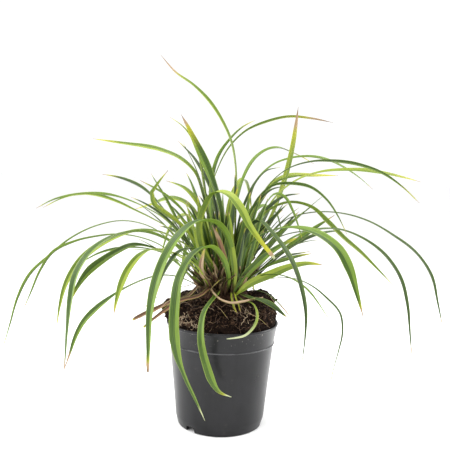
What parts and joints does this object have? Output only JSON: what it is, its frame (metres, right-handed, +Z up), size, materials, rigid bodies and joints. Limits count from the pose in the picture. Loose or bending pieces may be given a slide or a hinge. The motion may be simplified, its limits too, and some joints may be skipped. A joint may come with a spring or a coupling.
{
  "type": "potted sedge plant",
  "caption": "Carex sedge with a tuft of long arching grass-like leaves, rooted in a proud peat root ball in a round tapered nursery pot",
  "frame": {"origin": "on the surface the pot stands on, at the pot's axis, the middle of the base of the whole plant's box", "axes": "+Z up along the pot's axis, +X to the right along the leaves' widest spread, -Y to the front as pictured"},
  "size_m": [0.5136, 0.3028, 0.4283],
  "materials": {
    "pot_plastic": "thin injection-moulded plastic, satin, dark grey",
    "peat": "moist fibrous peat, rough",
    "crown_fibre": "brown fibrous leaf sheaths, rough",
    "leaf_green": "living leaf, mid green with paler margins, satin",
    "dry_straw": "dead leaf, straw brown, matte"
  },
  "bodies": {
    "root": {"pot": "pot_plastic", "soil": "peat", "crown": "crown_fibre", "leaf_01": "leaf_green", "leaf_02": "leaf_green", "leaf_03": "leaf_green", "leaf_04": "leaf_green", "leaf_05": "leaf_green", "leaf_06": "leaf_green", "leaf_07": "leaf_green", "leaf_08": "leaf_green", "leaf_09": "leaf_green", "leaf_10": "leaf_green", "leaf_11": "leaf_green", "leaf_12": "leaf_green", "leaf_13": "leaf_green", "leaf_14": "leaf_green", "leaf_15": "leaf_green", "leaf_16": "leaf_green", "leaf_17": "leaf_green", "leaf_18": "leaf_green", "leaf_19": "leaf_green", "leaf_20": "leaf_green", "leaf_21": "leaf_green", "leaf_22": "leaf_green", "leaf_23": "leaf_green", "leaf_24": "leaf_green", "leaf_25": "leaf_green", "leaf_26": "leaf_green", "leaf_27": "leaf_green", "leaf_28": "leaf_green", "leaf_29": "leaf_green", "leaf_30": "leaf_green", "leaf_31": "leaf_green", "leaf_32": "leaf_green", "leaf_33": "leaf_green", "leaf_34": "leaf_green", "leaf_35": "leaf_green", "leaf_36": "leaf_green", "leaf_37": "leaf_green", "leaf_38": "leaf_green", "leaf_39": "leaf_green", "leaf_40": "leaf_green", "leaf_41": "leaf_green", "leaf_42": "leaf_green", "leaf_43": "leaf_green", "leaf_44": "leaf_green", "leaf_45": "leaf_green", "leaf_46": "leaf_green", "leaf_47": "leaf_green", "leaf_48": "leaf_green", "leaf_49": "leaf_green", "leaf_50": "leaf_green", "leaf_51": "leaf_green", "leaf_52": "leaf_green", "leaf_53": "leaf_green", "dry_leaf_1": "dry_straw", "dry_leaf_2": "dry_straw", "stub_1": "dry_straw", "stub_2": "dry_straw"}
  },
  "joints": []
}
